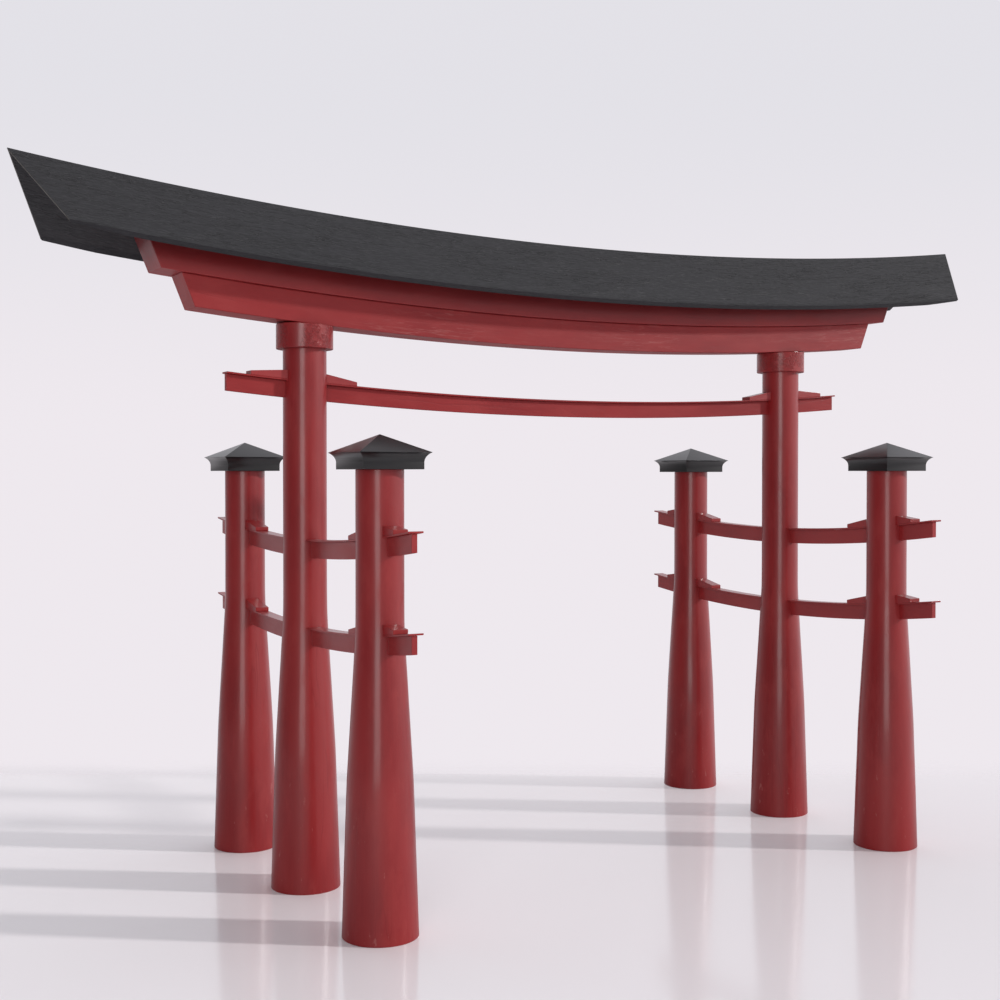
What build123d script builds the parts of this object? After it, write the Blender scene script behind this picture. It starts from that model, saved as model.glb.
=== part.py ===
"""Shrine gate (torii) of the four-legged kind: two main posts carry a curved double lintel
under a black gabled roof of two boards, and each main post stands between two shorter side
posts, tied to it by two sagging beams. The side posts wear black pyramid caps.

Frame: origin on the ground midway between the main posts, +X along the lintel to the right,
-Y to the front, +Z up. Millimetres. Everything is symmetric about the XZ and YZ planes.
"""
import os
from math import atan2, cos, sin, sqrt, tan

from build123d import *

os.makedirs("parts", exist_ok=True)

# ---------------------------------------------------------------------------------------
# Driving dimensions
# ---------------------------------------------------------------------------------------
FIT = 0.3                        # clearance between fitted timbers

# Plan
POST_SPAN = 4545.0               # between the main post axes
SIDE_REACH = 1291.0              # from a main post axis to a side post axis

# Posts: one turned profile for all six
SHAFT_RADIUS = 159.0
SHAFT_FROM = 2010.0              # height where the flare ends and the plain shaft begins
SWELL_HEIGHT = 1010.0            # height where the flare turns steeper
SWELL_FLARE = 61.0               # beyond the shaft, at that height
FOOT_FLARE = 94.0                # beyond the shaft, at the ground
FLARE_SAG = 2.0                  # hollow of each half of the flare, at its middle
SIDE_POST_HEIGHT = 3052.0

# Caps of the side posts
CAP_NECK_PROJECTION = 57.5       # beyond the shaft
CAP_BAND_HEIGHT = 45.0
CAP_EAVE_PROJECTION = 41.0       # beyond the neck
CAP_MOULDING_HEIGHT = 110.0
PYRAMID_HEIGHT = 120.0

# Lintels, curved up towards the ends; heights are those at mid span
RISE_RADIUS = 33780.0
LINTEL_UNDERSIDE = 4037.0
LOWER_LINTEL_HEIGHT = 224.0
LOWER_LINTEL_WIDTH = 247.0
LOWER_LINTEL_OVERHANG = 858.5    # of its underside, beyond the post axes
UPPER_LINTEL_STEP = 34.5         # how far it stands out over the face of the lower one
UPPER_LINTEL_OVERHANG = 1105.5   # of its underside, beyond the post axes
LINTEL_END_SLANT = 0.42          # outward lean of the lintel ends, run over rise

# Roof: two boards that lean together on the gabled top of the upper lintel
EAVE_ABOVE_JOINT = 148.0         # upper edge of the eave over the joint between the lintels
ROOF_DROP = 472.0                # from the ridge to the upper edge of the eave
EAVE_PROJECTION = 275.0          # beyond the face of the upper lintel
ROOF_THICKNESS = 42.0
RIDGE_OVERHANG = 2082.5          # beyond the post axes
EAVE_OVERHANG = 1780.5           # beyond the post axes
ROOF_END_THICKNESS = 20.0        # the boards are thinned from below towards their ends
ROOF_TAPER_LENGTH = 345.0

# Collars round the heads of the main posts
COLLAR_PROJECTION = 49.0         # beyond the shaft
COLLAR_HEIGHT = 165.0

# Tie beam between the main posts, with a wider cover board on it
TIE_DROP = 547.0                 # from the underside of the lintel to that of the beam
TIE_HEIGHT = 121.0
TIE_THICKNESS = 40.0
TIE_OVERHANG = 601.5             # beyond the post axes
TIE_RADIUS = 32800.0
TIE_COVER_OVERHANG = 5.0

# Side beams through the rear, main and front posts of each side
SIDE_BEAM_SPACING = 635.0        # from the head of a side post down to each underside
SIDE_BEAM_HEIGHT = 121.0
SIDE_BEAM_THICKNESS = 40.0
SIDE_BEAM_OVERHANG = 507.0       # beyond the side post axes
SIDE_BEAM_RADIUS = 14350.0
SIDE_COVER_OVERHANG = 20.0

# Cover boards and wedges
COVER_WIDTH = 106.0
COVER_THICKNESS = 12.0
WEDGE_ROOT_HEIGHT = 64.0         # above the cover board, at the post
WEDGE_TIP_HEIGHT = 29.0          # above the cover board, at the free end
WEDGE_LENGTH = 236.0             # from the shaft to the free end
TIE_OUTER_WEDGE_LENGTH = 271.0
SIDE_OUTER_WEDGE_LENGTH = 150.0

# ---------------------------------------------------------------------------------------
# Derived sizes and places
# ---------------------------------------------------------------------------------------
POST_X = POST_SPAN / 2
SWELL_RADIUS = SHAFT_RADIUS + SWELL_FLARE
FOOT_RADIUS = SHAFT_RADIUS + FOOT_FLARE
CAP_NECK = SHAFT_RADIUS + CAP_NECK_PROJECTION
CAP_EAVE = CAP_NECK + CAP_EAVE_PROJECTION
LINTEL_JOINT = LINTEL_UNDERSIDE + LOWER_LINTEL_HEIGHT
LOWER_LINTEL_HALF = POST_X + LOWER_LINTEL_OVERHANG
UPPER_LINTEL_HALF = POST_X + UPPER_LINTEL_OVERHANG
UPPER_LINTEL_WIDTH = LOWER_LINTEL_WIDTH + 2 * UPPER_LINTEL_STEP
EAVE_REACH = UPPER_LINTEL_WIDTH / 2 + EAVE_PROJECTION
EAVE_HEIGHT = LINTEL_JOINT + EAVE_ABOVE_JOINT
RIDGE_HEIGHT = EAVE_HEIGHT + ROOF_DROP
RIDGE_HALF = POST_X + RIDGE_OVERHANG
EAVE_HALF = POST_X + EAVE_OVERHANG
ROOF_PITCH = atan2(ROOF_DROP, EAVE_REACH)
TIE_UNDERSIDE = LINTEL_UNDERSIDE - TIE_DROP
TIE_HALF = POST_X + TIE_OVERHANG
SIDE_BEAM_HALF = SIDE_REACH + SIDE_BEAM_OVERHANG
SIDES = {"left": -1, "right": 1}
ENDS = {"front": -1, "rear": 1}
LEVELS = {
    "upper": SIDE_POST_HEIGHT - SIDE_BEAM_SPACING,
    "lower": SIDE_POST_HEIGHT - 2 * SIDE_BEAM_SPACING,
}


def rise(distance, radius):
    """Height that a curved member gains at a distance from its middle."""
    return radius - sqrt(radius**2 - distance**2)


COLLAR_RADIUS = SHAFT_RADIUS + COLLAR_PROJECTION
COLLAR_TOP = LINTEL_UNDERSIDE + rise(POST_X - COLLAR_RADIUS, RISE_RADIUS) - FIT
COLLAR_UNDERSIDE = COLLAR_TOP - COLLAR_HEIGHT


def save(shape, name):
    """Write one sub-part to its STEP file."""
    shape.label = name
    export_step(shape, f"parts/{name}.step")


# ---------------------------------------------------------------------------------------
# Shapes shared by several sub-parts
# ---------------------------------------------------------------------------------------
def curved_profile(low, high, half_low, half_high, radius):
    """Upright profile between two equal arcs that curve up towards its ends."""
    low_end = low + rise(half_low, radius)
    high_end = high + rise(half_high, radius)
    outline = [
        ThreePointArc((-half_low, low_end), (0, low), (half_low, low_end)),
        Line((half_low, low_end), (half_high, high_end)),
        ThreePointArc((half_high, high_end), (0, high), (-half_high, high_end)),
        Line((-half_high, high_end), (-half_low, low_end)),
    ]
    return make_face(Curve() + outline)


def curved_bar(plane, low, height, half, width, radius, grow=0.0):
    """Bar with upright ends that sags between them; grow turns it into its own mortise."""
    profile = curved_profile(low - grow, low + height + grow, half, half, radius)
    return extrude(plane * profile, amount=width / 2 + grow, both=True)


def flare(low, high):
    """Slightly hollow arc between two (radius, height) points of a post's profile."""
    middle = ((low[0] + high[0]) / 2 - FLARE_SAG, (low[1] + high[1]) / 2)
    return ThreePointArc(low, middle, high)


def turned_post(height, grow=0.0):
    """Round post: a plain shaft over a foot that flares in two gentle steps."""
    foot = (FOOT_RADIUS + grow, 0)
    swell = (SWELL_RADIUS + grow, SWELL_HEIGHT)
    shaft = (SHAFT_RADIUS + grow, SHAFT_FROM)
    outline = [
        flare(foot, swell),
        flare(swell, shaft),
        Polyline(shaft, (SHAFT_RADIUS + grow, height), (0, height), (0, 0), foot),
    ]
    return revolve(Plane.XZ * make_face(Curve() + outline), Axis.Z)


def square_turned(profile):
    """Square block that shows the same symmetric profile on all four sides."""
    across = extrude(Plane.XZ * profile, amount=CAP_EAVE, both=True)
    along = extrude(Plane.YZ * profile, amount=CAP_EAVE, both=True)
    return across & along


def post_wedge(plane, post_at, direction, length, cover_top, radius, post):
    """Block on a cover board that slopes down from a post to its free end.

    plane is the upright plane of the beam, post_at the post's place along it, direction the sign
    of the way the wedge points, and post the grown post that the root fits.
    """
    def seat(along):
        return cover_top + FIT + rise(along, radius)

    root = post_at + direction * SHAFT_RADIUS
    tip = root + direction * length
    root_top = seat(root) + WEDGE_ROOT_HEIGHT
    tip_top = seat(tip) + WEDGE_TIP_HEIGHT
    axis_top = root_top + (root_top - tip_top) / (tip - root) * (root - post_at)
    middle = (post_at + tip) / 2
    outline = [
        ThreePointArc((post_at, seat(post_at)), (middle, seat(middle)), (tip, seat(tip))),
        Polyline((tip, seat(tip)), (tip, tip_top), (post_at, axis_top), (post_at, seat(post_at))),
    ]
    block = extrude(plane * make_face(Curve() + outline), amount=COVER_WIDTH / 2, both=True)
    return block - post


# ---------------------------------------------------------------------------------------
# Lintels and roof
# ---------------------------------------------------------------------------------------
def along_rise(section, half):
    """Carry an upright YZ section along the rise of the lintel, as far as half to either side."""
    start = rise(half, RISE_RADIUS)
    path = Plane.XZ * ThreePointArc((-half, start), (0, 0), (half, start))
    face = make_face(Polyline(*[(-half, y, start + z) for y, z in section], close=True))
    return sweep(face, path=path, normal=(1, 0, 0))


def end_trim(half, height, slant):
    """Everything between two slanted end planes that lie at half from the middle at a height."""
    low_end = half - slant * height
    high_end = half + slant * height
    corners = [(-low_end, 0), (low_end, 0), (high_end, 2 * height), (-high_end, 2 * height)]
    outline = make_face(Polyline(*corners, close=True))
    return extrude(Plane.XZ * outline, amount=2 * EAVE_REACH, both=True)


def lower_lintel():
    half = LOWER_LINTEL_HALF
    half_top = half + LINTEL_END_SLANT * LOWER_LINTEL_HEIGHT
    profile = curved_profile(LINTEL_UNDERSIDE, LINTEL_JOINT, half, half_top, RISE_RADIUS)
    return extrude(Plane.XZ * profile, amount=LOWER_LINTEL_WIDTH / 2, both=True)


def upper_lintel():
    """Upper lintel: its top is cut to the two slopes that the roof boards lie on."""
    low = LINTEL_JOINT + FIT
    apex = RIDGE_HEIGHT - (ROOF_THICKNESS + FIT) / cos(ROOF_PITCH)
    half_width = UPPER_LINTEL_WIDTH / 2
    shoulder = apex - half_width * tan(ROOF_PITCH)
    section = [
        (-half_width, low),
        (half_width, low),
        (half_width, shoulder),
        (0, apex),
        (-half_width, shoulder),
    ]
    half = UPPER_LINTEL_HALF
    beam = along_rise(section, half + apex - low)
    return beam & end_trim(half, low + rise(half, RISE_RADIUS), LINTEL_END_SLANT)


def roof_end_taper(end):
    """Waste under the right end of a roof board, where it is thinned from below."""
    outward = Vector(0, end * sin(ROOF_PITCH), cos(ROOF_PITCH))
    start = RIDGE_HALF - ROOF_TAPER_LENGTH
    inboard = Vector(start, 0, RIDGE_HEIGHT + rise(start, RISE_RADIUS)) - outward * ROOF_THICKNESS
    ridge_end = Vector(RIDGE_HALF, 0, RIDGE_HEIGHT + rise(RIDGE_HALF, RISE_RADIUS))
    eave_end = Vector(EAVE_HALF, end * EAVE_REACH, EAVE_HEIGHT + rise(EAVE_HALF, RISE_RADIUS))
    tip = ridge_end - outward * ROOF_END_THICKNESS
    beyond = tip + (tip - inboard)
    waste = make_face(Polyline(inboard, beyond, beyond - outward * EAVE_REACH, close=True))
    return extrude(waste, amount=2 * EAVE_REACH, dir=(eave_end - ridge_end).normalized(), both=True)


def roof_board(end):
    """Sloping roof board, square edged, mitred at the ridge and thinned from below at both ends."""
    inset = ROOF_THICKNESS * sin(ROOF_PITCH)
    section = [
        (end * FIT / 2, RIDGE_HEIGHT),
        (end * EAVE_REACH, EAVE_HEIGHT),
        (end * (EAVE_REACH - inset), EAVE_HEIGHT - ROOF_THICKNESS * cos(ROOF_PITCH)),
        (end * FIT / 2, RIDGE_HEIGHT - ROOF_THICKNESS / cos(ROOF_PITCH)),
    ]
    ridge_end = RIDGE_HEIGHT + rise(RIDGE_HALF, RISE_RADIUS)
    eave_end = EAVE_HEIGHT + rise(EAVE_HALF, RISE_RADIUS)
    slant = (RIDGE_HALF - EAVE_HALF) / (ridge_end - eave_end)
    taper = roof_end_taper(end)
    board = along_rise(section, RIDGE_HALF + EAVE_REACH) & end_trim(RIDGE_HALF, ridge_end, slant)
    return board - taper - mirror(taper, Plane.YZ)


# ---------------------------------------------------------------------------------------
# Beams, posts, collars and caps
# ---------------------------------------------------------------------------------------
def tie_beam(grow=0.0):
    return curved_bar(Plane.XZ, TIE_UNDERSIDE, TIE_HEIGHT, TIE_HALF, TIE_THICKNESS, TIE_RADIUS, grow)


def tie_cover(grow=0.0):
    low = TIE_UNDERSIDE + TIE_HEIGHT + FIT
    half = TIE_HALF + TIE_COVER_OVERHANG
    return curved_bar(Plane.XZ, low, COVER_THICKNESS, half, COVER_WIDTH, TIE_RADIUS, grow)


def side_plane(side):
    """Upright plane through the three posts of one side; its own x runs to the rear."""
    return Plane.YZ.offset(side * POST_X)


def side_beam(side, low, grow=0.0):
    plane = side_plane(side)
    height = SIDE_BEAM_HEIGHT
    width = SIDE_BEAM_THICKNESS
    return curved_bar(plane, low, height, SIDE_BEAM_HALF, width, SIDE_BEAM_RADIUS, grow)


def side_cover(side, underside, grow=0.0):
    plane = side_plane(side)
    low = underside + SIDE_BEAM_HEIGHT + FIT
    half = SIDE_BEAM_HALF + SIDE_COVER_OVERHANG
    return curved_bar(plane, low, COVER_THICKNESS, half, COVER_WIDTH, SIDE_BEAM_RADIUS, grow)


def side_mortises(side):
    """Everything that passes through the posts of one side, grown by the fit."""
    passes = []
    for underside in LEVELS.values():
        passes.append(side_beam(side, underside, FIT))
        passes.append(side_cover(side, underside, FIT))
    return passes


def head_shoulders():
    """Waste on either side of the seat under the lintel, over the level of the collar's top."""
    upright = (Align.CENTER, Align.CENTER, Align.MIN)
    width = 2 * COLLAR_RADIUS
    block = Box(width, width, COLLAR_HEIGHT, align=upright)
    seat = Box(width, LOWER_LINTEL_WIDTH, COLLAR_HEIGHT, align=upright)
    return Pos(0, 0, COLLAR_TOP) * (block - seat)


def main_post(side):
    """Main post: level with the collar, with a seat under the lintel that follows its curve."""
    seat_top = LINTEL_UNDERSIDE + rise(POST_X + SHAFT_RADIUS, RISE_RADIUS)
    low = LINTEL_UNDERSIDE
    width = 2 * COLLAR_RADIUS
    lintel = curved_bar(Plane.XZ, low, LOWER_LINTEL_HEIGHT, LOWER_LINTEL_HALF, width, RISE_RADIUS, FIT)
    place = Pos(side * POST_X, 0, 0)
    cutters = [place * head_shoulders(), lintel, tie_beam(FIT), tie_cover(FIT)] + side_mortises(side)
    return place * turned_post(seat_top) - cutters


def side_post(side, end):
    blank = Pos(side * POST_X, end * SIDE_REACH, 0) * turned_post(SIDE_POST_HEIGHT)
    return blank - side_mortises(side)


def collar(side):
    upright = (Align.CENTER, Align.CENTER, Align.MIN)
    ring = Cylinder(COLLAR_RADIUS, COLLAR_HEIGHT, align=upright)
    bore = Cylinder(SHAFT_RADIUS + FIT, COLLAR_HEIGHT, align=upright)
    return Pos(side * POST_X, 0, COLLAR_UNDERSIDE) * (ring - bore)


def cap_moulding():
    """Plain band under a cove that swings out to the eave of the pyramid."""
    top = CAP_MOULDING_HEIGHT
    half = [
        Polyline((0, 0), (CAP_NECK, 0), (CAP_NECK, CAP_BAND_HEIGHT)),
        TangentArc((CAP_NECK, CAP_BAND_HEIGHT), (CAP_EAVE, top), tangent=(0, 1)),
        Polyline((CAP_EAVE, top), (0, top), (0, 0)),
    ]
    half_face = make_face(Curve() + half)
    return square_turned(half_face + mirror(half_face, Plane.YZ))


def cap_pyramid():
    outline = Polyline((-CAP_EAVE, 0), (CAP_EAVE, 0), (0, PYRAMID_HEIGHT), close=True)
    return square_turned(make_face(outline))


# ---------------------------------------------------------------------------------------
# The gate
# ---------------------------------------------------------------------------------------
def build_lintels_and_roof():
    save(lower_lintel(), "lower_lintel")
    save(upper_lintel(), "upper_lintel")
    for end_name, end in ENDS.items():
        save(roof_board(end), f"roof_board_{end_name}")


def build_tie_beam():
    save(tie_beam(), "tie_beam")
    save(tie_cover(), "tie_beam_cover")
    cover_top = TIE_UNDERSIDE + TIE_HEIGHT + FIT + COVER_THICKNESS
    for side_name, side in SIDES.items():
        post = Pos(side * POST_X, 0, 0) * turned_post(LINTEL_UNDERSIDE, FIT)
        places = {"outer": (side, TIE_OUTER_WEDGE_LENGTH), "inner": (-side, WEDGE_LENGTH)}
        for place, (direction, length) in places.items():
            at = side * POST_X
            block = post_wedge(Plane.XZ, at, direction, length, cover_top, TIE_RADIUS, post)
            save(block, f"tie_wedge_{side_name}_{place}")


def side_wedges(side, end, cover_top):
    """The outer and the inner wedge of one side post, on one beam."""
    at = end * SIDE_REACH
    plane = side_plane(side)
    post = Pos(side * POST_X, at, 0) * turned_post(SIDE_POST_HEIGHT, FIT)
    pair = [
        post_wedge(plane, at, direction, length, cover_top, SIDE_BEAM_RADIUS, post)
        for direction, length in ((end, SIDE_OUTER_WEDGE_LENGTH), (-end, WEDGE_LENGTH))
    ]
    return Compound(children=pair)


def build_side_beams():
    for side_name, side in SIDES.items():
        for level, underside in LEVELS.items():
            save(side_beam(side, underside), f"side_beam_{side_name}_{level}")
            save(side_cover(side, underside), f"side_beam_cover_{side_name}_{level}")
            cover_top = underside + SIDE_BEAM_HEIGHT + FIT + COVER_THICKNESS
            for end_name, end in ENDS.items():
                wedges = side_wedges(side, end, cover_top)
                save(wedges, f"side_wedges_{side_name}_{end_name}_{level}")


def build_posts():
    moulding = cap_moulding()
    pyramid = cap_pyramid()
    for side_name, side in SIDES.items():
        save(main_post(side), f"main_post_{side_name}")
        save(collar(side), f"collar_{side_name}")
        for end_name, end in ENDS.items():
            save(side_post(side, end), f"side_post_{side_name}_{end_name}")
            head = Pos(side * POST_X, end * SIDE_REACH, SIDE_POST_HEIGHT)
            save(head * moulding, f"cap_moulding_{side_name}_{end_name}")
            save(head * Pos(0, 0, CAP_MOULDING_HEIGHT) * pyramid, f"cap_pyramid_{side_name}_{end_name}")


build_lintels_and_roof()
build_tie_beam()
build_side_beams()
build_posts()
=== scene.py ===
"""Looks of the four-legged shrine gate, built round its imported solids.

The curved timbers are swept along their rise and the six posts are turned to one profile, both by
node trees. Wedges and caps are softened copies of their solids, and the collars are plain rings.
Lengths are in metres. +X runs along the lintel to the right, -Y to the front and +Z up, and the
origin lies on the ground midway between the main posts.
"""

import logging
import math
from dataclasses import dataclass
from enum import Enum
from functools import cache
from typing import Any, Union

import bmesh
import bpy
from mathutils import Matrix, Vector


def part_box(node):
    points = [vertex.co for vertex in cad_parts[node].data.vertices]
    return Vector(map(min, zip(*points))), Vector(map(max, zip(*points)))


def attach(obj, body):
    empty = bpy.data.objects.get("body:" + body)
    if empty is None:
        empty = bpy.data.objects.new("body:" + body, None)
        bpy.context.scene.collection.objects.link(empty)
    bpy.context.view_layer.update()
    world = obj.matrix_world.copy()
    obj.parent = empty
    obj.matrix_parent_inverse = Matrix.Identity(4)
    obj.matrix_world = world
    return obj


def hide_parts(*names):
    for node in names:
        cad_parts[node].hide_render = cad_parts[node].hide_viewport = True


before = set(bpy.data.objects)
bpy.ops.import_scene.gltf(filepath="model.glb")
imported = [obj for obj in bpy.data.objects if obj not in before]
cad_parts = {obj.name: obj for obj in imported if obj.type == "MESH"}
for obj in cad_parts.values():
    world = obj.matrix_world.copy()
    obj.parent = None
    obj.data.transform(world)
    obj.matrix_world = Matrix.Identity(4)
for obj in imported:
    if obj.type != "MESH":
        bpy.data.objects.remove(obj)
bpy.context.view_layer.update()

LOG = logging.getLogger("gate")
Colour = tuple[float, float, float]
Section = list[tuple[float, float]]
BODY = "root"
SIDES = ("left", "right")
ENDS = ("front", "rear")
LEVELS = ("upper", "lower")
MERGE = 1e-5                        # corners closer than this are one
FLAT = math.radians(0.2)            # faces that meet at less are one
EDGE_SEGMENTS = 3                   # of a rounded edge
FLOOR = "studio_floor"
LINTEL_RADIUS = 33.780              # of the rise of lintels and roof
ROOF_DROP = 0.472                   # from ridge to eave
ROOF_RUN = 0.433                    # from ridge to eave, level
ROOF_PITCH = math.atan2(ROOF_DROP, ROOF_RUN)


def rise(distance: float, radius: float) -> float:
    """Height that a curved timber gains at a distance from its middle."""
    return radius - math.sqrt(radius**2 - distance**2)


class Way(Enum):
    """Direction in which the grain of a timber runs."""

    LENGTH = 0
    DEPTH = 1
    HEIGHT = 2


class Slot(Enum):
    """Material slots of the part's record."""

    LACQUER = "red_lacquer"
    ROOF = "black_roof"
    CAP = "black_cap"


# ------------------------------------------------------------------------------------------
# Node trees as expressions
# ------------------------------------------------------------------------------------------
class Signal:
    """Output of a node. Arithmetic on it adds the Math nodes that carry it out."""

    def __init__(self, graph: "Graph", socket: bpy.types.NodeSocket) -> None:
        """Keep the socket and the graph that it belongs to."""
        self.graph = graph
        self.socket = socket

    def math(self, operation: str, *operands: "Operand") -> "Signal":
        """Add a Math node.

        Args:
            operation: Name of the Math node's operation.
            *operands: Its inputs, in order.

        Returns:
            The node's result.
        """
        return self.graph.node(
            "ShaderNodeMath", {"operation": operation}, dict(enumerate(operands))
        )

    def __add__(self, other: "Operand") -> "Signal":
        """Sum."""
        return self.math("ADD", self, other)

    __radd__ = __add__

    def __sub__(self, other: "Operand") -> "Signal":
        """Difference."""
        return self.math("SUBTRACT", self, other)

    def __rsub__(self, other: "Operand") -> "Signal":
        """Difference with this signal on the right."""
        return self.math("SUBTRACT", other, self)

    def __mul__(self, other: "Operand") -> "Signal":
        """Product."""
        return self.math("MULTIPLY", self, other)

    __rmul__ = __mul__

    def __truediv__(self, other: "Operand") -> "Signal":
        """Quotient."""
        return self.math("DIVIDE", self, other)

    def __abs__(self) -> "Signal":
        """Absolute value."""
        return self.math("ABSOLUTE", self)

    def root(self) -> "Signal":
        """Square root."""
        return self.math("SQRT", self)

    def largest(self, other: "Operand") -> "Signal":
        """Larger of two values."""
        return self.math("MAXIMUM", self, other)

    def sign(self) -> "Signal":
        """Sign, as -1, 0 or 1."""
        return self.math("SIGN", self)

    def ramp(self, low: float, high: float, smooth: bool = True) -> "Signal":
        """Map low..high to 0..1, clamped.

        Args:
            low: Value that becomes 0.
            high: Value that becomes 1; it may be the smaller one.
            smooth: Whether the ends are eased.

        Returns:
            The mapped signal.
        """
        kind = "SMOOTHSTEP" if smooth else "LINEAR"
        settings = {"interpolation_type": kind, "clamp": True}
        return self.graph.node("ShaderNodeMapRange", settings, {0: self, 1: low, 2: high})


Operand = Union[Signal, float, int, bool, tuple, bpy.types.ID]


class Graph:
    """A node tree under construction, for a surface, the world or a shape."""

    def __init__(self, tree: bpy.types.NodeTree) -> None:
        """Keep the tree."""
        self.tree = tree

    def node(
        self,
        kind: str,
        settings: dict[str, Any] | None = None,
        inputs: dict[int | str, Operand] | None = None,
        output: int | str = 0,
    ) -> Signal:
        """Add a node, set its settings first and then its sockets.

        Args:
            kind: Type of the node.
            settings: Properties of the node.
            inputs: Values or signals by the index or the name of the socket.
            output: Socket that is handed back.

        Returns:
            The chosen output, or the last input of a node that has no output.
        """
        made = self.tree.nodes.new(kind)
        for name, value in (settings or {}).items():
            setattr(made, name, value)
        for key, value in (inputs or {}).items():
            socket = made.inputs[key]
            if isinstance(value, Signal):
                self.tree.links.new(value.socket, socket)
            else:
                socket.default_value = value
        return Signal(self, made.outputs[output] if made.outputs else made.inputs[-1])

    def split(self, vector: Signal) -> tuple[Signal, Signal, Signal]:
        """Separate a vector into its three parts."""
        parts = self.node("ShaderNodeSeparateXYZ", inputs={0: vector}).socket.node.outputs
        return tuple(Signal(self, socket) for socket in parts)

    def join(self, x: Operand, y: Operand, z: Operand) -> Signal:
        """Combine three parts into a vector."""
        return self.node("ShaderNodeCombineXYZ", inputs={0: x, 1: y, 2: z})

    def blend(self, factor: Operand, low: Operand, high: Operand, mode: str = "MIX") -> Signal:
        """Mix two colours.

        Args:
            factor: 0 gives low and 1 gives high.
            low: First colour.
            high: Second colour.
            mode: Blend type of the Mix node.

        Returns:
            The mixed colour.
        """
        settings = {"data_type": "RGBA", "blend_type": mode}
        ends = {6: opaque(low), 7: opaque(high)}
        return self.node("ShaderNodeMix", settings, {0: factor, **ends}, output=2)

    def noise(self, place: Signal, scale: float, detail: float, roughness: float = 0.5) -> Signal:
        """Noise over a place, from 0 to 1 about 0.5, with scale features in a metre of it."""
        sockets = {"Vector": place, "Scale": scale, "Detail": detail, "Roughness": roughness}
        return self.node("ShaderNodeTexNoise", inputs=sockets)


def opaque(colour: Operand) -> Operand:
    """Give a plain colour its alpha, and leave a signal as it is."""
    return (*colour, 1.0) if isinstance(colour, tuple) else colour


# ------------------------------------------------------------------------------------------
# Finishes
# ------------------------------------------------------------------------------------------
@dataclass(frozen=True)
class Grain:
    """Where the grain of a timber runs, and how it bends with the timber."""

    CUT_END = (0.62, 0.86)

    way: Way
    rise_radius: float = 0.0

    def place(self, graph: Graph, stretch: float) -> Signal:
        """Coordinates that follow the timber, shortened along the grain.

        Args:
            graph: Surface's node tree.
            stretch: How many times longer than wide a mark in the grain is.

        Returns:
            Coordinates for a texture.
        """
        here = graph.node("ShaderNodeTexCoord", output="Object")
        parts = list(graph.split(here))
        along = parts[self.way.value]
        if self.rise_radius:
            parts[2] = parts[2] - along * along * (0.5 / self.rise_radius)
        parts[self.way.value] = along * (1.0 / stretch)
        return graph.join(*parts)

    def ends(self, graph: Graph) -> Signal:
        """Mask of the cut ends, where the surface faces along the grain."""
        facing = graph.split(graph.node("ShaderNodeTexCoord", output="Normal"))
        return abs(facing[self.way.value]).ramp(*self.CUT_END)

    def straight_height(self, graph: Graph) -> Signal:
        """Height that a spot would have if the timber were straight."""
        return graph.split(self.place(graph, 1.0))[2]


@dataclass(frozen=True)
class Pattern:
    """Noise drawn out along the grain, and the span of it that shows as marks.

    The stretch says how many times longer than wide a mark is, the scale how many lie in a metre,
    and the detail and roughness how many finer octaves there are and how strong they are.
    """

    stretch: float
    scale: float
    detail: float
    roughness: float = 0.5
    span: tuple[float, float] = (0.0, 1.0)

    def noise(self, graph: Graph, grain: Grain) -> Signal:
        """Noise itself, from 0 to 1 about 0.5."""
        place = grain.place(graph, self.stretch)
        return graph.noise(place, self.scale, self.detail, self.roughness)

    def marks(self, graph: Graph, grain: Grain) -> Signal:
        """Mask of blots, where the noise passes through its span."""
        return self.noise(graph, grain).ramp(*self.span)

    def lines(self, graph: Graph, grain: Grain) -> Signal:
        """Mask of lines, by how near the noise is to its middle."""
        return abs(self.noise(graph, grain) - 0.5).ramp(*self.span)


def blank_surface(name: str) -> tuple[bpy.types.Material, Graph]:
    """Make an empty material.

    Args:
        name: Its name.

    Returns:
        The material and its graph.
    """
    material = bpy.data.materials.new(name)
    material.use_nodes = True
    material.node_tree.nodes.clear()
    return material, Graph(material.node_tree)


def put_out(graph: Graph, surface: Signal) -> None:
    """Link a surface to the tree's output."""
    graph.node("ShaderNodeOutputMaterial", inputs={"Surface": surface})


def facing_up(graph: Graph) -> Signal:
    """How far a surface faces up, from -1 to 1."""
    return graph.split(graph.node("ShaderNodeTexCoord", output="Normal"))[2]


def bump(graph: Graph, relief: Signal) -> Signal:
    """Normal of a relief that is given in millimetres."""
    return graph.node("ShaderNodeBump", inputs={"Distance": 0.001, "Height": relief})


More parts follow.
